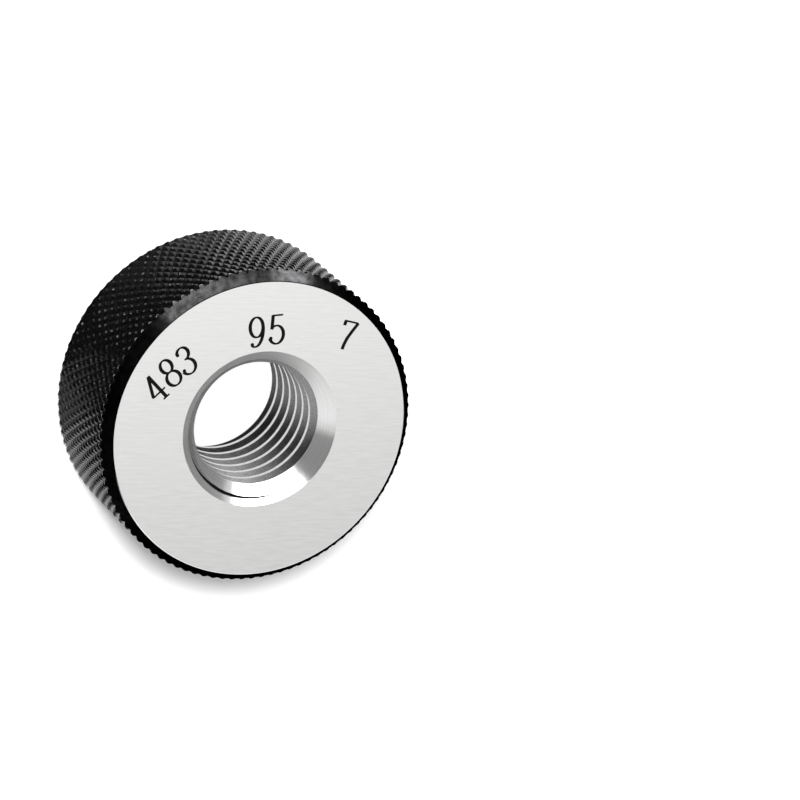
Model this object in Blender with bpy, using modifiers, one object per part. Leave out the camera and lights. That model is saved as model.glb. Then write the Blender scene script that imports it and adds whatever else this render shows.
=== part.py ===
"""A solid thread ring gauge: a knurled steel ring with a right-hand thread cut right through it.

The ring lies on its plain back face. Its axis is Z, and the origin is the centre of that face.
Lengths are in metres and angles in degrees.
"""

import math

import bmesh
import bpy
from mathutils import Matrix

# The ring
THICKNESS = 0.021
KNURL_DIAMETER = 0.045
FACE_DIAMETER = 0.0422
CHAMFER_HEIGHT = 0.00135

# The knurl: raised diamonds between grooves that lean both ways from the axis
KNURL_PITCH = 0.00125
KNURL_LEAN = 30.0
KNURL_DEPTH = 0.0003

# The thread and the countersinks that lead into it
THREAD_DIAMETER = 0.020
THREAD_PITCH = 0.0025
THREAD_START = -129.0
SINK_DIAMETER = 0.0223
SINK_ANGLE = 90.0

# The metric thread form, as shares of the height of its sharp triangle or of its pitch
FLANK_ANGLE = 60.0
CREST_CUT = 5 / 8
ROOT_FLAT = 1 / 8

# How finely the round shapes are cut
BORE_STEPS = 48
CUTTER_REACH = 0.001
CUTTER_OVERLAP = 0.0003
SPARE_TURNS = 2
MERGE_DISTANCE = 0.000001
SHARP_ANGLE = 30.0

STEEL_COLOUR = (0.78, 0.78, 0.77, 1.0)
BLACK_COLOUR = (0.012, 0.012, 0.013, 1.0)
STEEL = 0
BLACK = 1


def clear_scene():
    """Removes whatever the scene starts with."""
    for old_object in list(bpy.data.objects):
        bpy.data.objects.remove(old_object, do_unlink=True)


def make_collection(name):
    """A collection of this name, linked to the scene."""
    collection = bpy.data.collections.new(name)
    bpy.context.scene.collection.children.link(collection)
    return collection


def make_material(name, colour, roughness):
    """A bare or blackened steel finish."""
    material = bpy.data.materials.new(name)
    material.use_nodes = True
    shader = material.node_tree.nodes["Principled BSDF"]
    shader.inputs["Base Color"].default_value = colour
    shader.inputs["Roughness"].default_value = roughness
    shader.inputs["Metallic"].default_value = 1.0
    return material


def add_object(name, mesh, collection, finishes):
    """An object for this mesh, with both finishes on it, ready to be cut or to cut."""
    for finish in finishes:
        mesh.materials.append(finish)
    new_object = bpy.data.objects.new(name, mesh)
    collection.objects.link(new_object)
    return new_object


def shade_round(mesh):
    """Smooth shading over the round walls, with the real corners kept sharp."""
    mesh.shade_smooth()
    mesh.set_sharp_from_angle(angle=math.radians(SHARP_ANGLE))


def move_to_radius(verts, radius, height=None):
    """Slides points in or out to a radius, and to a height if one is given."""
    for vert in verts:
        vert.co.xy *= radius / vert.co.xy.length
        if height is not None:
            vert.co.z = height


def knurl_counts(band_height):
    """The diamonds round the rim and along it, as near to the stated pitch as whole numbers allow."""
    lean = math.radians(KNURL_LEAN)
    around = round(math.pi * KNURL_DIAMETER * math.cos(lean) / KNURL_PITCH)
    along = round(band_height * math.sin(lean) / KNURL_PITCH)
    return max(around, 3), max(along, 1)


def make_blank(collection, finishes):
    """The ring before it is bored: a knurled band, a chamfer and a flat face at each end.

    Each cell of a grid round the band is poked into four triangles. Once the grid's own edges are dissolved,
    the triangles pair up into diamonds, and a second poke lifts each diamond into a four-sided point.
    """
    tip_radius = KNURL_DIAMETER / 2
    root_radius = tip_radius - KNURL_DEPTH
    band_height = THICKNESS - 2 * CHAMFER_HEIGHT
    around, along = knurl_counts(band_height)

    shape = bmesh.new()
    bmesh.ops.create_cone(
        shape, cap_ends=False, segments=around, radius1=root_radius, radius2=root_radius, depth=band_height,
        matrix=Matrix.Translation((0, 0, THICKNESS / 2)))
    upright = [edge for edge in shape.edges if not edge.is_boundary]
    bmesh.ops.subdivide_edges(shape, edges=upright, cuts=along - 1, use_grid_fill=True)

    grid = [edge for edge in shape.edges if not edge.is_boundary]
    centres = bmesh.ops.poke(shape, faces=shape.faces[:])["verts"]
    move_to_radius(centres, root_radius)
    bmesh.ops.dissolve_edges(shape, edges=grid, use_verts=False)
    tips = bmesh.ops.poke(shape, faces=shape.faces[:])["verts"]
    move_to_radius(tips, tip_radius)
    for face in shape.faces:
        face.material_index = BLACK

    for height in (0, THICKNESS):
        rim = [edge for edge in shape.edges
               if edge.is_boundary and abs(edge.verts[0].co.z - height) < THICKNESS / 2]
        chamfer = bmesh.ops.extrude_edge_only(shape, edges=rim)["geom"]
        corner = [part for part in chamfer if isinstance(part, bmesh.types.BMVert)]
        move_to_radius(corner, FACE_DIAMETER / 2, height)
        for part in chamfer:
            if isinstance(part, bmesh.types.BMFace):
                part.material_index = BLACK
        ends = bmesh.ops.contextual_create(
            shape, geom=[part for part in chamfer if isinstance(part, bmesh.types.BMEdge)])
        for face in ends["faces"]:
            face.material_index = STEEL
    bmesh.ops.recalc_face_normals(shape, faces=shape.faces[:])

    mesh = bpy.data.meshes.new("gauge_ring")
    shape.to_mesh(mesh)
    shape.free()
    shade_round(mesh)
    return add_object("gauge_ring", mesh, collection, finishes)


def revolve(name, outline, collection, finishes, steps, turns=1, rise=0.0):
    """A cutter swept round Z from an outline of (radius, height) points, rising by a pitch each turn."""
    guide = bpy.data.meshes.new(name + "_outline")
    points = [(radius, 0, height) for radius, height in outline]
    links = [(i, i + 1) for i in range(len(points) - 1)]
    if rise:
        links.append((len(points) - 1, 0))
    guide.from_pydata(points, links, [])
    sweep = bpy.data.objects.new(name + "_sweep", guide)
    collection.objects.link(sweep)
    screw = sweep.modifiers.new("Sweep", "SCREW")
    screw.axis = "Z"
    screw.angle = math.tau
    screw.iterations = turns
    screw.screw_offset = rise
    screw.steps = steps
    screw.render_steps = steps
    screw.use_merge_vertices = not rise
    screw.merge_threshold = MERGE_DISTANCE

    swept = bpy.data.meshes.new_from_object(sweep.evaluated_get(bpy.context.evaluated_depsgraph_get()))
    bpy.data.objects.remove(sweep)
    bpy.data.meshes.remove(guide)
    shape = bmesh.new()
    shape.from_mesh(swept)
    bmesh.ops.remove_doubles(shape, verts=shape.verts[:], dist=MERGE_DISTANCE)
    bmesh.ops.holes_fill(shape, edges=shape.edges[:], sides=len(outline))
    bmesh.ops.recalc_face_normals(shape, faces=shape.faces[:])
    for face in shape.faces:
        face.material_index = STEEL
    shape.to_mesh(swept)
    shape.free()
    swept.name = name
    shade_round(swept)

    cutter = add_object(name, swept, collection, finishes)
    cutter.hide_render = True
    cutter.display_type = "WIRE"
    return cutter


def crest_radius():
    """The radius of the crests, which is half the thread's minor diameter."""
    sharp_height = THREAD_PITCH / 2 / math.tan(math.radians(FLANK_ANGLE / 2))
    return THREAD_DIAMETER / 2 - CREST_CUT * sharp_height


def make_bore_cutter(collection, finishes):
    """The plain bore at the crests' diameter, opening into a countersink at each face."""
    bore_radius = crest_radius()
    sink_radius = SINK_DIAMETER / 2
    slope = math.tan(math.radians(SINK_ANGLE / 2))
    sink_depth = (sink_radius - bore_radius) / slope
    mouth_radius = sink_radius + CUTTER_REACH * slope
    outline = [
        (0, THICKNESS + CUTTER_REACH),
        (mouth_radius, THICKNESS + CUTTER_REACH),
        (bore_radius, THICKNESS - sink_depth),
        (bore_radius, sink_depth),
        (mouth_radius, -CUTTER_REACH),
        (0, -CUTTER_REACH),
    ]
    return revolve("bore_cutter", outline, collection, finishes, BORE_STEPS)


def make_thread_cutter(collection, finishes):
    """The tap: one tooth of the thread's groove, wound up through the ring and out at both ends."""
    rise_per_radius = math.tan(math.radians(FLANK_ANGLE / 2))
    root_radius = THREAD_DIAMETER / 2
    inner_radius = crest_radius() - CUTTER_OVERLAP
    root_half = ROOT_FLAT * THREAD_PITCH / 2
    inner_half = root_half + (root_radius - inner_radius) * rise_per_radius
    first = -THREAD_PITCH
    outline = [
        (inner_radius, first + inner_half),
        (root_radius, first + root_half),
        (root_radius, first - root_half),
        (inner_radius, first - inner_half),
    ]
    turns = math.ceil(THICKNESS / THREAD_PITCH) + SPARE_TURNS
    cutter = revolve("thread_cutter", outline, collection, finishes, BORE_STEPS, turns, THREAD_PITCH)
    cutter.rotation_euler.z = math.radians(THREAD_START)
    return cutter


def cut(target, cutter):
    """Takes the cutter's shape out of the target."""
    boolean = target.modifiers.new(cutter.name, "BOOLEAN")
    boolean.operation = "DIFFERENCE"
    boolean.solver = "EXACT"
    boolean.object = cutter


def build():
    """Turns, knurls, bores and threads the ring."""
    clear_scene()
    ring_parts = make_collection("thread_ring_gauge")
    cutters = make_collection("cutters")
    finishes = [
        make_material("ground_steel", STEEL_COLOUR, 0.3),
        make_material("blackened_steel", BLACK_COLOUR, 0.35),
    ]
    ring = make_blank(ring_parts, finishes)
    cut(ring, make_bore_cutter(cutters, finishes))
    cut(ring, make_thread_cutter(cutters, finishes))


build()
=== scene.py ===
import math

import bmesh
import bpy
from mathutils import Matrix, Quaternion, Vector


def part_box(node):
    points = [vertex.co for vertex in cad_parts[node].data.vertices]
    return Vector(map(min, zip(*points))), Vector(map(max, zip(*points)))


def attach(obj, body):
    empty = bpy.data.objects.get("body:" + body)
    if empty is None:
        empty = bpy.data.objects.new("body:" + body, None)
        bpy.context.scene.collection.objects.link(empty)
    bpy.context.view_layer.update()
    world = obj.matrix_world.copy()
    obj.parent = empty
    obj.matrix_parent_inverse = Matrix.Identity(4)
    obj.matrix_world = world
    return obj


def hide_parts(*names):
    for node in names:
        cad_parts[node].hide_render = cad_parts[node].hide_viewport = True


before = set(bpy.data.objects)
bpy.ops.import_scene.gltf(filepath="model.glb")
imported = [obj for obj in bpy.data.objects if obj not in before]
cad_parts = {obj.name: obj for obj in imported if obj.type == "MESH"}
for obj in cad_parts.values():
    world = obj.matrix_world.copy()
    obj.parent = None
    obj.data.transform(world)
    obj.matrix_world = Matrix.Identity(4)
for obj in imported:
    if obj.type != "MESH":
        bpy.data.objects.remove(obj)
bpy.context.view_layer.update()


# The turned body is a disc of tool steel with a flat ground face and a chamfer at each end, bored right
# through at the size of the thread's crests, with a 90 degree countersink leading in at each face.
low_corner, high_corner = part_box("gauge_ring")
thickness = high_corner.z - low_corner.z
tip_radius = 0.0225
face_radius = 0.0211
chamfer_width = 0.0014
chamfer_height = 0.00172
chamfer_slope = chamfer_width / chamfer_height
bore_radius = 0.008647
sink_radius = 0.01115
edge_break = 0.00008
overshoot = 0.001
turning_steps = 196
hair = 0.000001


def begin_edit(piece):
    """Selects one piece alone and opens it in edit mode with nothing picked."""
    bpy.ops.object.select_all(action="DESELECT")
    piece.select_set(True)
    bpy.context.view_layer.objects.active = piece
    bpy.ops.object.mode_set(mode="EDIT")
    bpy.ops.mesh.select_all(action="DESELECT")


def end_edit():
    """Turns every face outwards and goes back to object mode."""
    bpy.ops.mesh.select_all(action="SELECT")
    bpy.ops.mesh.normals_make_consistent(inside=False)
    bpy.ops.object.mode_set(mode="OBJECT")


def pick(kind, wanted):
    """In edit mode, selects the verts, edges or faces that the rule wants, and nothing else."""
    bpy.ops.mesh.select_all(action="DESELECT")
    bpy.context.tool_settings.mesh_select_mode = (kind == "verts", kind == "edges", kind == "faces")
    shape = bmesh.from_edit_mesh(bpy.context.object.data)
    for part in getattr(shape, kind):
        if wanted(part):
            part.select_set(True)
    shape.select_flush_mode()
    bmesh.update_edit_mesh(bpy.context.object.data)


def open_tube(name, radius, low, high, steps):
    """An open tube round the axis, from one height to another."""
    bpy.ops.object.select_all(action="DESELECT")
    bpy.ops.mesh.primitive_cylinder_add(
        vertices=steps, radius=radius, depth=high - low, end_fill_type="NOTHING",
        location=(0, 0, (low + high) / 2))
    tube = bpy.context.object
    tube.name = name
    bpy.ops.object.transform_apply(location=True)
    return tube


def cone_ends(tube, radius, end_radius, rise):
    """Draws both open ends of a tube out into cones and closes them."""
    begin_edit(tube)
    middle = thickness / 2
    for way in (-1, 1):
        pick("edges", lambda edge: edge.is_boundary and way * (edge.verts[0].co.z - middle) > 0)
        bpy.ops.mesh.extrude_region_move(TRANSFORM_OT_translate={"value": (0, 0, way * rise)})
        share = end_radius / radius
        bpy.ops.transform.resize(value=(share, share, 1), center_override=(0, 0, middle))
        bpy.ops.mesh.edge_face_add()
    end_edit()


def carve(piece, cutter, operation="DIFFERENCE", crossing=False):
    """Cuts one solid with another and throws the cutter away."""
    bpy.ops.object.select_all(action="DESELECT")
    piece.select_set(True)
    bpy.context.view_layer.objects.active = piece
    boolean = piece.modifiers.new("cut", "BOOLEAN")
    boolean.object = cutter
    boolean.operation = operation
    boolean.solver = "EXACT"
    boolean.use_self = crossing
    bpy.ops.object.modifier_apply(modifier=boolean.name)
    bpy.data.objects.remove(cutter)


outside = tip_radius + overshoot
chamfer_rise = (outside - face_radius) / chamfer_slope
body = open_tube("turned_body", outside, chamfer_rise, thickness - chamfer_rise, turning_steps)
cone_ends(body, outside, face_radius, chamfer_rise)

sink_depth = sink_radius - bore_radius
drill = open_tube("drill", bore_radius, sink_depth, thickness - sink_depth, turning_steps)
cone_ends(drill, bore_radius, sink_radius + overshoot, sink_depth + overshoot)
carve(body, drill)

# A stone breaks the sharp outer edge of each face
begin_edit(body)
pick("edges", lambda edge: all(min(corner.co.z, thickness - corner.co.z) < hair
                               and corner.co.xy.length > sink_radius + edge_break for corner in edge.verts))
bpy.ops.mesh.bevel(offset=edge_break, segments=2, affect="EDGES")
end_edit()


# The thread is ground and lapped to the 60 degree metric form: flat on its crests, and sharp in its
# roots, where a narrow slot gives clearance. It runs right out through both countersinks.
thread_radius = 0.010
thread_pitch = 0.0025
thread_start = math.radians(-129)
flank_angle = math.radians(30)
root_half_width = thread_pitch / 16
slot_half_width = 0.0002
slot_radius = 0.01036
crest_overlap = 0.0003
steps_per_turn = 144
spare_turns = 2

flank_slope = math.tan(flank_angle)
inner_radius = bore_radius - crest_overlap
mouth_half_width = root_half_width + flank_slope * (thread_radius - inner_radius)
taper_radius = thread_radius + (root_half_width - slot_half_width) / flank_slope
outline = [
    (inner_radius, -mouth_half_width),
    (taper_radius, -slot_half_width),
    (slot_radius, -slot_half_width),
    (slot_radius, slot_half_width),
    (taper_radius, slot_half_width),
    (inner_radius, mouth_half_width),
]
bpy.ops.object.select_all(action="DESELECT")
bpy.ops.mesh.primitive_circle_add(vertices=len(outline), radius=1)
grinder = bpy.context.object
for corner, (reach, rise) in zip(grinder.data.vertices, outline):
    corner.co = (reach * math.cos(thread_start), reach * math.sin(thread_start), rise - thread_pitch)
screw = grinder.modifiers.new("helix", "SCREW")
screw.steps = screw.render_steps = steps_per_turn
screw.screw_offset = thread_pitch
screw.iterations = math.ceil(thickness / thread_pitch) + spare_turns
screw.use_merge_vertices = False
bpy.ops.object.modifier_apply(modifier=screw.name)
begin_edit(grinder)
bpy.ops.mesh.select_all(action="SELECT")
bpy.ops.mesh.remove_doubles(threshold=hair)
bpy.ops.mesh.fill_holes(sides=len(outline))
end_edit()
carve(body, grinder)


# The size marks are plain numerals, laser-cut a few hundredths of a millimetre into the marked face in
# a narrow pen-stroke style, and filled black. They stand round the bore, each turned with the ring.
numeral_height = 0.0042
numeral_width = 0.0022
thick_stroke = 0.0005
thin_stroke = 0.00026
pen_contrast = 1.5
dot_radius = 0.00026
dot_steps = 20
degrees_per_step = 9
mark_depth = 0.00004
floor_step = 0.0000001
numerals = [("4", -0.0139, 0.0097, 32), ("8", -0.0115, 0.0114, 24), ("3", -0.0090, 0.0126, 17),
            ("9", 0.0014, 0.0140, -6), ("5", 0.0043, 0.0137, -9), ("7", 0.0142, 0.0102, -27)]


def arc(centre, radii, first, last):
    """Points along part of an ellipse, in the numeral's own box of one by one."""
    steps = max(4, round(abs(last - first) / degrees_per_step))
    angles = [math.radians(first + (last - first) * step / steps) for step in range(steps + 1)]
    return [(centre[0] + radii[0] * math.cos(a), centre[1] + radii[1] * math.sin(a)) for a in angles]


strokes = {
    "3": [arc((0.46, 0.76), (0.37, 0.22), 165, -95), arc((0.44, 0.27), (0.46, 0.27), 95, -160)],
    "4": [[(0.66, 0.98), (0.33, 0.62), (0.03, 0.29)], [(0.0, 0.29), (0.5, 0.29), (1.0, 0.29)],
          [(0.68, 1.0), (0.68, 0.5), (0.68, 0.0)], [(0.44, 0.01), (0.68, 0.01), (0.92, 0.01)]],
    "5": [[(0.14, 0.97), (0.5, 0.97), (0.86, 0.97)], [(0.21, 0.98), (0.18, 0.75), (0.15, 0.50)],
          arc((0.45, 0.31), (0.46, 0.31), 138, -160)],
    "7": [[(0.05, 0.96), (0.5, 0.96), (0.93, 0.96)], [(0.07, 0.98), (0.06, 0.90), (0.05, 0.80)],
          [(0.92, 0.97), (0.70, 0.68), (0.52, 0.42), (0.44, 0.20), (0.42, 0.0)]],
    "8": [arc((0.5, 0.76), (0.36, 0.24), 90, 455), arc((0.5, 0.265), (0.44, 0.265), 90, 455)],
    "9": [arc((0.48, 0.66), (0.42, 0.34), 0, 365), arc((0.36, 0.62), (0.55, 0.62), 4, -115)],
}
dots = {"3": [(0.13, 0.80), (0.09, 0.20)], "5": [(0.09, 0.20)], "9": [(0.17, 0.09)]}

# Each stroke's floor lies a little lower than the last one's, so that no two floors meet flush
pens = []
for numeral, centre_x, centre_y, lean in numerals:
    turn = math.radians(lean)
    for stroke in strokes[numeral] + [[spot] for spot in dots.get(numeral, [])]:
        path = [Vector(((x - 0.5) * numeral_width, (y - 0.5) * numeral_height)) for x, y in stroke]
        depth = mark_depth + len(pens) * floor_step
        pen_height = 4 * depth
        bpy.ops.object.select_all(action="DESELECT")
        if len(path) == 1:
            bpy.ops.mesh.primitive_circle_add(vertices=dot_steps, radius=dot_radius, fill_type="NGON")
        else:
            bpy.ops.mesh.primitive_grid_add(x_subdivisions=len(path) - 1, y_subdivisions=1, size=1)
        pen = bpy.context.object
        for corner in pen.data.vertices:
            spot = corner.co.xy + path[0]
            if len(path) > 1:
                step = corner.index % len(path)
                side = 1 if corner.index >= len(path) else -1
                along = (path[min(step + 1, len(path) - 1)] - path[max(step - 1, 0)]).normalized()
                width = thin_stroke + (thick_stroke - thin_stroke) * abs(along.y) ** pen_contrast
                spot = path[step] + Vector((-along.y, along.x)) * side * width / 2
            corner.co.x = centre_x + spot.x * math.cos(turn) - spot.y * math.sin(turn)
            corner.co.y = centre_y + spot.x * math.sin(turn) + spot.y * math.cos(turn)
            corner.co.z = thickness - depth
        begin_edit(pen)
        bpy.ops.mesh.select_all(action="SELECT")
        bpy.ops.mesh.extrude_region_move(TRANSFORM_OT_translate={"value": (0, 0, pen_height)})
        end_edit()
        pens.append(pen)
bpy.ops.object.select_all(action="DESELECT")
for pen in pens:
    pen.select_set(True)
bpy.context.view_layer.objects.active = pens[0]
bpy.ops.object.join()
carve(body, pens[0], crossing=True)


# The grip is knurled: a pair of wheels rolls the bar's outside into raised diamonds with worn, rounded
# tops. The ring is what the knurled bar and the turned body have in common, so the chamfers cut its ends.
knurl_depth = 0.0003
root_radius = tip_radius - knurl_depth
diamonds_round = 98
diamonds_along = 9
diamond_length = 0.0025
diamond_flank = 0.00046
tip_wear = 0.00008
knurl_corner = math.radians(32)
bore_corner = math.radians(12)


def rise_of(edge):
    """How far an edge climbs along the ring's axis."""
    return abs(edge.verts[0].co.z - edge.verts[1].co.z)


def run_of(edge):
    """How far an edge runs across the ring's axis."""
    return (edge.verts[0].co.xy - edge.verts[1].co.xy).length


half_length = diamonds_along * diamond_length / 2
ring = open_tube("gauge_ring_finished", root_radius, thickness / 2 - half_length,
                 thickness / 2 + half_length, diamonds_round)
begin_edit(ring)
pick("edges", lambda edge: rise_of(edge) > half_length)
bpy.ops.mesh.subdivide(number_cuts=diamonds_along - 1)
bpy.ops.mesh.select_all(action="SELECT")
bpy.ops.mesh.poke()
pick("edges", lambda edge: not edge.is_boundary and min(rise_of(edge), run_of(edge)) < knurl_depth / 10)
bpy.ops.mesh.dissolve_edges(use_verts=False)
pick("faces", lambda face: len(face.verts) == 4)
bpy.ops.mesh.inset(thickness=diamond_flank, depth=knurl_depth, use_individual=True)
bpy.ops.mesh.bevel(offset=tip_wear, segments=3, affect="EDGES")
for way in (-1, 1):
    pick("edges", lambda edge: edge.is_boundary and way * (edge.verts[0].co.z - thickness / 2) > 0)
    bpy.ops.mesh.edge_face_add()
end_edit()
carve(ring, body, "INTERSECT")

bpy.ops.object.select_all(action="DESELECT")
ring.select_set(True)
bpy.context.view_layer.objects.active = ring
bpy.ops.object.shade_smooth_by_angle(angle=knurl_corner)
begin_edit(ring)
pick("edges", lambda edge: edge.verts[0].co.xy.length < sink_radius + edge_break
     and edge.calc_face_angle(0) > bore_corner)
bpy.ops.mesh.mark_sharp()
end_edit()
evening = ring.modifiers.new("even_shading", "WEIGHTED_NORMAL")
evening.keep_sharp = True
evening.weight = 100
bpy.ops.object.modifier_apply(modifier=evening.name)


# The finish: ground faces, a turned countersink, a thread finished by lapping, whose flanks are coloured
# far darker than its crests as painted shade, and black oxide on the rim and the chamfers, worn through on
# the knurl's tops, where bright dots, thickest near the marked face, are painted glints as well as worn
# spots.
# The broken edge of each face is coloured black toward +y and bright steel toward -y: a painted shade and a
# painted highlight. The numerals are filled black, and the slots in the thread's roots take the same black
# as painted shade.
noise_low = 0.3
noise_high = 0.7
edge_painted_shade_y = -0.001
edge_painted_highlight_y = -0.009
rub_and_glint_starts = 0.0021
rub_and_glint_full = 0.0015


def new_finish(name, metallic, roughness):
    """A material with these plain settings, and its nodes, its links and its main shader."""
    material = bpy.data.materials.new(name)
    material.use_nodes = True
    nodes, links = material.node_tree.nodes, material.node_tree.links
    shader = nodes["Principled BSDF"]
    shader.inputs["Metallic"].default_value = metallic
    shader.inputs["Roughness"].default_value = roughness
    return material, nodes, links, shader


def marks_along(nodes, links, turn, stretch, scale, detail):
    """Noise in the ring's own coordinates, drawn out into scratches that run one way."""
    coords = nodes.new("ShaderNodeTexCoord")
    mapping = nodes.new("ShaderNodeMapping")
    mapping.vector_type = "TEXTURE"
    mapping.inputs["Rotation"].default_value = (0, 0, math.radians(turn))
    mapping.inputs["Scale"].default_value = (stretch, 1, 1)
    noise = nodes.new("ShaderNodeTexNoise")
    noise.inputs["Scale"].default_value = scale
    noise.inputs["Detail"].default_value = detail
    links.new(coords.outputs["Object"], mapping.inputs["Vector"])
    links.new(mapping.outputs["Vector"], noise.inputs["Vector"])
    return noise.outputs["Fac"]


def marks_round(nodes, links, scale, detail):
    """Noise by distance from the axis alone, for the fine rings that a turning tool leaves."""
    coords = nodes.new("ShaderNodeTexCoord")
    flat = nodes.new("ShaderNodeVectorMath")
    flat.operation = "MULTIPLY"
    flat.inputs[1].default_value = (1, 1, 0)
    radius = nodes.new("ShaderNodeVectorMath")
    radius.operation = "LENGTH"
    noise = nodes.new("ShaderNodeTexNoise")
    noise.noise_dimensions = "1D"
    noise.inputs["Scale"].default_value = scale
    noise.inputs["Detail"].default_value = detail
    links.new(coords.outputs["Object"], flat.inputs[0])
    links.new(flat.outputs["Vector"], radius.inputs[0])
    links.new(radius.outputs["Value"], noise.inputs["W"])
    return noise.outputs["Fac"]


def spread(nodes, links, marks, low, high, target):
    """Drives a socket by the marks, from one value to another."""
    scale = nodes.new("ShaderNodeMapRange")
    scale.inputs["From Min"].default_value = noise_low
    scale.inputs["From Max"].default_value = noise_high
    scale.inputs["To Min"].default_value = low
    scale.inputs["To Max"].default_value = high
    links.new(marks, scale.inputs["Value"])
    links.new(scale.outputs[0], target)


def shade(nodes, links, marks, dark, light, target):
    """Drives a shader's colour by the marks, from one grey to another."""
    tones = nodes.new("ShaderNodeValToRGB")
    tones.color_ramp.elements[0].position = noise_low
    tones.color_ramp.elements[0].color = (*dark, 1)
    tones.color_ramp.elements[1].position = noise_high
    tones.color_ramp.elements[1].color = (*light, 1)
    links.new(marks, tones.inputs[0])
    links.new(tones.outputs[0], target)


def scratch(nodes, links, marks, depth, shader):
    """Presses the marks into the surface."""
    bump = nodes.new("ShaderNodeBump")
    bump.inputs["Strength"].default_value = 1
    bump.inputs["Distance"].default_value = depth
    links.new(marks, bump.inputs["Height"])
    links.new(bump.outputs["Normal"], shader.inputs["Normal"])


def turned_grain(nodes, links, shader, strength):
    """Stretches the shine across the turning lines."""
    shader.inputs["Anisotropic"].default_value = strength
    shader.inputs["Anisotropic Rotation"].default_value = 0.25
    tangent = nodes.new("ShaderNodeTangent")
    tangent.direction_type = "RADIAL"
    tangent.axis = "Z"
    links.new(tangent.outputs["Tangent"], shader.inputs["Tangent"])


ground, nodes, links, shader = new_finish("ground_face", 1, 0.3)
lines = marks_along(nodes, links, -15, 9, 3000, 4)
shade(nodes, links, lines, (0.485, 0.485, 0.48), (0.545, 0.545, 0.54), shader.inputs["Base Color"])
spread(nodes, links, lines, 0.28, 0.34, shader.inputs["Roughness"])
scratch(nodes, links, lines, 0.0000015, shader)

turned, nodes, links, shader = new_finish("turned_countersink", 1, 0.28)
rings = marks_round(nodes, links, 8000, 4)
shade(nodes, links, rings, (0.74, 0.74, 0.735), (0.95, 0.95, 0.945), shader.inputs["Base Color"])
scratch(nodes, links, rings, 0.000003, shader)
turned_grain(nodes, links, shader, 0.85)

# Painted shade: the thread's flanks are coloured far darker steel than its crests, so that the inside of
# the thread stays dark.
flanks_painted_dark, nodes, links, shader = new_finish("lapped_thread_painted_dark", 1, 0.38)
chatter = marks_along(nodes, links, 0, 1, 5000, 3)
shade(nodes, links, chatter, (0.19, 0.19, 0.19), (0.31, 0.31, 0.31), shader.inputs["Base Color"])
spread(nodes, links, chatter, 0.35, 0.41, shader.inputs["Roughness"])
rings = marks_round(nodes, links, 9000, 3)
scratch(nodes, links, rings, 0.000003, shader)

crest, nodes, links, shader = new_finish("lapped_crest", 1, 0.22)
rub = marks_along(nodes, links, 0, 1, 4000, 3)
shade(nodes, links, rub, (0.60, 0.60, 0.60), (0.72, 0.72, 0.715), shader.inputs["Base Color"])

# Painted shade and painted highlight: the broken edge is coloured black on the +y side of the ring and
# bright steel on the -y side, with a ramp between, so that one side reads as shaded and the other as lit.
edge_shade_and_highlight, nodes, links, shader = new_finish("broken_edge_painted_shade_and_highlight", 1, 0.2)
rub = marks_along(nodes, links, 0, 1, 4000, 3)
place = nodes.new("ShaderNodeTexCoord")
side = nodes.new("ShaderNodeSeparateXYZ")
edge_light_side = nodes.new("ShaderNodeMapRange")
edge_light_side.inputs["From Min"].default_value = edge_painted_shade_y
edge_light_side.inputs["From Max"].default_value = edge_painted_highlight_y
edge_light_side.inputs["To Min"].default_value = 0.004
tone = nodes.new("ShaderNodeMath")
tone.operation = "MULTIPLY"
links.new(place.outputs["Object"], side.inputs[0])
links.new(side.outputs["Y"], edge_light_side.inputs["Value"])
links.new(edge_light_side.outputs[0], tone.inputs[0])
spread(nodes, links, rub, 0.84, 0.94, tone.inputs[1])
links.new(tone.outputs[0], shader.inputs["Base Color"])
shader.inputs["Specular Tint"].default_value = (0.02, 0.02, 0.02, 1)

oxide, nodes, links, shader = new_finish("black_oxide_turned", 1, 0.26)
patches = marks_along(nodes, links, 0, 1, 1100, 5)
shade(nodes, links, patches, (0.006, 0.006, 0.0062), (0.023, 0.023, 0.0235), shader.inputs["Base Color"])
bloom = marks_along(nodes, links, 0, 1, 5000, 3)
spread(nodes, links, bloom, 0.14, 0.20, shader.inputs["Roughness"])
shader.inputs["Specular Tint"].default_value = (0.02, 0.02, 0.02, 1)

knurl_oxide, nodes, links, shader = new_finish("black_oxide_knurl", 0, 0.24)
bloom = marks_along(nodes, links, 0, 1, 2500, 5)
shade(nodes, links, bloom, (0.001, 0.001, 0.001), (0.004, 0.004, 0.0042), shader.inputs["Base Color"])
spread(nodes, links, bloom, 0.10, 0.18, shader.inputs["Roughness"])
scratch(nodes, links, bloom, 0.000006, shader)
shader.inputs["Specular IOR Level"].default_value = 0.27

# Worn spots and painted glints: bright grey dots on the knurl's tops, more of them toward the marked face,
# stand in for glints of light on the teeth as well as for worn spots.
tips_worn_and_glinting, nodes, links, shader = new_finish("worn_knurl_tips_painted_glints", 0, 0.3)
wear_and_glint_noise = marks_along(nodes, links, 0, 1, 2600, 2)
place = nodes.new("ShaderNodeTexCoord")
height = nodes.new("ShaderNodeSeparateXYZ")
glints_toward_marked_face = nodes.new("ShaderNodeMapRange")
glints_toward_marked_face.inputs["From Min"].default_value = thickness - rub_and_glint_starts
glints_toward_marked_face.inputs["From Max"].default_value = thickness - rub_and_glint_full
glints_toward_marked_face.inputs["To Max"].default_value = 0.34
wear_and_glint_amount = nodes.new("ShaderNodeMath")
worn_spots_and_glints = nodes.new("ShaderNodeValToRGB")
worn_spots_and_glints.color_ramp.elements[0].position = 0.55
worn_spots_and_glints.color_ramp.elements[0].color = (0.003, 0.003, 0.003, 1)
worn_spots_and_glints.color_ramp.elements[1].position = 0.75
worn_spots_and_glints.color_ramp.elements[1].color = (0.2, 0.2, 0.198, 1)
brightest_glint = worn_spots_and_glints.color_ramp.elements.new(0.9)
brightest_glint.color = (0.55, 0.55, 0.545, 1)
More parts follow.
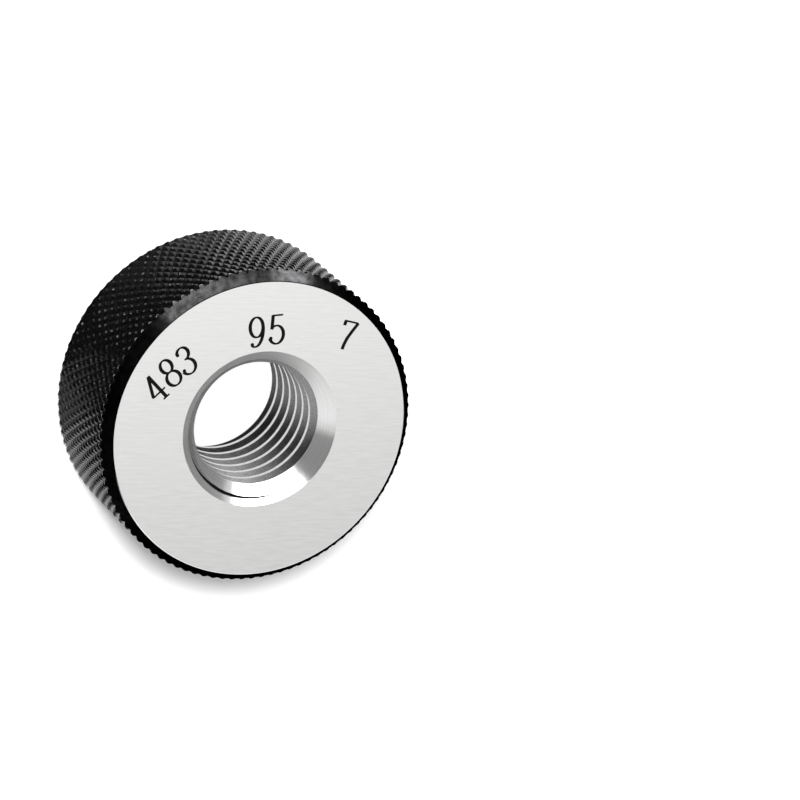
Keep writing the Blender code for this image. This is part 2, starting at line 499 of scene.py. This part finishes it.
links.new(place.outputs["Object"], height.inputs[0])
links.new(height.outputs["Z"], glints_toward_marked_face.inputs["Value"])
links.new(wear_and_glint_noise, wear_and_glint_amount.inputs[0])
links.new(glints_toward_marked_face.outputs[0], wear_and_glint_amount.inputs[1])
links.new(wear_and_glint_amount.outputs[0], worn_spots_and_glints.inputs[0])
links.new(worn_spots_and_glints.outputs[0], shader.inputs["Base Color"])
shader.inputs["Specular IOR Level"].default_value = 0.3

# Black fill for the numerals. The same black goes into the slots in the thread's roots, where it is painted
# shade.
mark_fill_and_root_shade, nodes, links, shader = new_finish("black_mark_fill_and_painted_root_shade", 0, 0.5)
dust = marks_along(nodes, links, 0, 1, 6000, 3)
shade(nodes, links, dust, (0.001, 0.001, 0.001), (0.004, 0.004, 0.004), shader.inputs["Base Color"])
shader.inputs["Specular IOR Level"].default_value = 0.05

finishes = [ground, edge_shade_and_highlight, turned, flanks_painted_dark, crest, oxide, knurl_oxide, tips_worn_and_glinting, mark_fill_and_root_shade]
for material in finishes:
    ring.data.materials.append(material)
flat_lean = 0.99
chamfer_lean = math.sin(math.atan(chamfer_slope))
sink_lean = math.sqrt(0.5)
wall_lean = 0.05
lean_match = 0.02
slack = 0.00001
inside_the_face = 0.0001
past_the_chamfer = 0.00008
glint_tip_band = 0.00006
rub_and_glint_band = 0.00016
painted_root_shade_band = 0.00005
for face in ring.data.polygons:
    out = face.center.xy.length
    near_end = min(face.center.z, thickness - face.center.z)
    lean = abs(face.normal.z)
    rim = out > face_radius - inside_the_face
    on_chamfer = near_end < chamfer_height + past_the_chamfer and abs(lean - chamfer_lean) < lean_match
    if lean > flat_lean and near_end < hair:
        finish = ground
    elif near_end < 3 * mark_depth and sink_radius + slack < out and not rim:
        finish = mark_fill_and_root_shade
    # The broken edge: painted shade on one side, painted highlight on the other.
    elif near_end < edge_break and out > face_radius - 2 * edge_break:
        finish = edge_shade_and_highlight
    elif rim and on_chamfer:
        finish = oxide
    # Knurl tops and the teeth by the chamfer: worn spots with painted glints.
    elif out > tip_radius - glint_tip_band or (near_end < rub_and_glint_starts and out > tip_radius - rub_and_glint_band):
        finish = tips_worn_and_glinting
    elif rim:
        finish = knurl_oxide
    elif near_end < sink_depth + slack and abs(lean - sink_lean) < lean_match:
        finish = turned
    elif lean < wall_lean and out < bore_radius + slack:
        finish = crest
    # The slots in the thread's roots: painted shade with the black fill.
    elif out > taper_radius - painted_root_shade_band:
        finish = mark_fill_and_root_shade
    # The thread's flanks: steel coloured dark as painted shade.
    else:
        finish = flanks_painted_dark
    face.material_index = finishes.index(finish)

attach(ring, "root")
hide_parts("gauge_ring")


# The camera looks down on the marked face from the photograph's angle, rolled as the photograph is.
camera_place = (-0.18961, 0.26669, 0.61680)
camera_back = Vector((-0.30623, 0.39026, 0.86828))
camera_roll = math.radians(130.97)
bpy.ops.object.select_all(action="DESELECT")
bpy.ops.object.camera_add(location=camera_place)
camera = bpy.context.object
camera.data.lens = 225
camera.data.sensor_width = 36
camera.data.clip_start = 0.01
camera.data.clip_end = 20
camera.rotation_mode = "QUATERNION"
camera.rotation_quaternion = camera_back.to_track_quat("Z", "Y") @ Quaternion((0, 0, 1), camera_roll)
bpy.context.scene.camera = camera


# The floor is a white sheet that keeps the ring's shadow, and a white card lies under the bore, so that
# the bore looks through to white as it does in the picture.
floor_radius = 3
floor_height = -0.00002
bore_card_radius = 0.0112
bore_card_height = 0.00002


def seen_rays(nodes, links):
    """One for a ray from the camera, a shine or a clear thing, and nothing for any other ray."""
    path = nodes.new("ShaderNodeLightPath")
    total = path.outputs["Is Camera Ray"]
    for kind in ("Is Glossy Ray", "Is Transmission Ray"):
        both = nodes.new("ShaderNodeMath")
        both.operation = "MAXIMUM"
        links.new(total, both.inputs[0])
        links.new(path.outputs[kind], both.inputs[1])
        total = both.outputs[0]
    return total


def stage_sheet(sheet, name, colour, glow):
    """Names a sheet and gives it a plain surface with a glow of its own."""
    sheet.name = name
    material = bpy.data.materials.new(name)
    material.use_nodes = True
    nodes, links = material.node_tree.nodes, material.node_tree.links
    nodes.clear()
    output = nodes.new("ShaderNodeOutputMaterial")
    diffuse = nodes.new("ShaderNodeBsdfDiffuse")
    diffuse.inputs["Color"].default_value = (colour, colour, colour, 1)
    shine = nodes.new("ShaderNodeEmission")
    add = nodes.new("ShaderNodeAddShader")
    strength = nodes.new("ShaderNodeMath")
    strength.operation = "MULTIPLY"
    strength.inputs[1].default_value = glow
    links.new(seen_rays(nodes, links), strength.inputs[0])
    links.new(strength.outputs[0], shine.inputs["Strength"])
    links.new(diffuse.outputs[0], add.inputs[0])
    links.new(shine.outputs[0], add.inputs[1])
    links.new(add.outputs[0], output.inputs["Surface"])
    sheet.data.materials.append(material)


bpy.ops.object.select_all(action="DESELECT")
bpy.ops.mesh.primitive_circle_add(
    vertices=64, radius=floor_radius, fill_type="NGON", location=(0, 0, floor_height))
stage_sheet(bpy.context.object, "floor", colour=0.90, glow=0.05)

bpy.ops.object.select_all(action="DESELECT")
bpy.ops.mesh.primitive_circle_add(
    vertices=64, radius=bore_card_radius, fill_type="NGON", location=(0, 0, bore_card_height))
stage_sheet(bpy.context.object, "bore_card", colour=0, glow=1)


# Curved cards stand round the ring, as in a product photographer's tent: bright ones at the top of the
# picture for the highlights, and grey and black ones beside them that keep the dark edges dark. Flat ones
# on the floor give the knurl its bright and dark sides.
card_distance = 0.5
floor_card_height = -0.00001


def shine_card(card, name, glow):
    """Makes a card that only shines see: it lights nothing and the camera looks through it."""
    stage_sheet(card, name, colour=0, glow=glow)
    card.visible_camera = False
    card.visible_diffuse = False
    card.visible_transmission = False
    card.visible_shadow = False


def studio_card(name, first, last, bottom, tops, glow):
    """A curved card between two azimuths, from one elevation up to another at each end."""
    bpy.ops.object.select_all(action="DESELECT")
    bpy.ops.mesh.primitive_grid_add(x_subdivisions=24, y_subdivisions=1, size=2)
    card = bpy.context.object
    for corner in card.data.vertices:
        share = (corner.co.x + 1) / 2
        turn = math.radians(first + (last - first) * share)
        top = tops[0] + (tops[1] - tops[0]) * share
        rise = math.radians(top if corner.co.y > 0 else bottom)
        corner.co = (card_distance * math.cos(turn), card_distance * math.sin(turn),
                     card_distance * math.tan(rise))
    shine_card(card, name, glow)


studio_card("softbox", 40, 113, 11, (41, 41), 8)
studio_card("strip_light_right", 38, 56, 0, (14, 14), 18)
studio_card("strip_light_left", 84, 115, 6, (20, 21), 22)
studio_card("side_card", -28, 26, 0, (26, 26), 0.3)
studio_card("fill_card", 190, 252, 18, (62, 62), 1.3)
studio_card("grey_card", 122, 178, 17, (40, 40), 0.36)
studio_card("low_black_card", 122, 173, 0, (17, 17), 0)
studio_card("black_card", 173, 236, 0, (17, 3), 0)
studio_card("dark_curtain", 22, 190, 42, (87, 87), 0)


def floor_card(name, first, last, inner, outer, glow):
    """A sector of a flat ring lying just over the floor, seen in shines alone."""
    bpy.ops.object.select_all(action="DESELECT")
    bpy.ops.mesh.primitive_grid_add(x_subdivisions=24, y_subdivisions=1, size=2)
    card = bpy.context.object
    for corner in card.data.vertices:
        turn = math.radians(first + (last - first) * (corner.co.x + 1) / 2)
        reach = outer if corner.co.y > 0 else inner
        corner.co = (reach * math.cos(turn), reach * math.sin(turn), floor_card_height)
    shine_card(card, name, glow)


near_reach = 0.029
far_reach = 0.3
floor_card("bright_floor_right", -60, 76, 0, near_reach, 0.9)
floor_card("half_lit_floor", 76, 100, 0, near_reach, 0.45)
floor_card("shaded_floor", 100, 128, 0, near_reach, 0.12)
floor_card("dark_floor", 128, 160, 0, near_reach, 0.02)
floor_card("brighter_floor_left", 160, 186, 0, near_reach, 0.26)
floor_card("bright_floor_left", 186, 300, 0, near_reach, 0.65)
floor_card("far_floor", -60, 300, near_reach, far_reach, 0.01)


# The light: a plain white room, a soft key lamp high on one side that throws the shadow down the
# picture, and a soft panel above the marked face that gives it its even fall of light.
room_light = 0.35
world = bpy.data.worlds.new("studio")
bpy.context.scene.world = world
world.use_nodes = True
nodes, links = world.node_tree.nodes, world.node_tree.links
nodes.clear()
room = nodes.new("ShaderNodeBackground")
strength = nodes.new("ShaderNodeMapRange")
strength.inputs["To Min"].default_value = room_light
strength.inputs["To Max"].default_value = 1
output = nodes.new("ShaderNodeOutputWorld")
room.inputs["Color"].default_value = (1, 1, 1, 1)
links.new(seen_rays(nodes, links), strength.inputs["Value"])
links.new(strength.outputs[0], room.inputs["Strength"])
links.new(room.outputs[0], output.inputs["Surface"])


def soft_lamp(name, place, aim, shape, size, energy):
    """A soft lamp that the camera doesn't see, turned to where it aims."""
    bpy.ops.object.select_all(action="DESELECT")
    bpy.ops.object.light_add(type="AREA", location=place)
    lamp = bpy.context.object
    lamp.name = name
    lamp.data.shape = shape
    lamp.data.size = size
    lamp.data.energy = energy
    lamp.visible_camera = False
    lamp.rotation_mode = "QUATERNION"
    lamp.rotation_quaternion = (Vector(place) - Vector(aim)).to_track_quat("Z", "Y")
    return lamp


key = soft_lamp(
    "key_lamp", place=(-0.1245, 0.2934, 0.5201), aim=(0, 0, 0), shape="DISK", size=0.16, energy=6.4)
key.visible_glossy = False
soft_lamp(
    "face_panel", place=(0.09, -0.01, 0.32), aim=(0.09, -0.01, 0), shape="SQUARE", size=0.25, energy=0.2)

bpy.context.scene.view_settings.view_transform = "Standard"
bpy.context.view_layer.update()
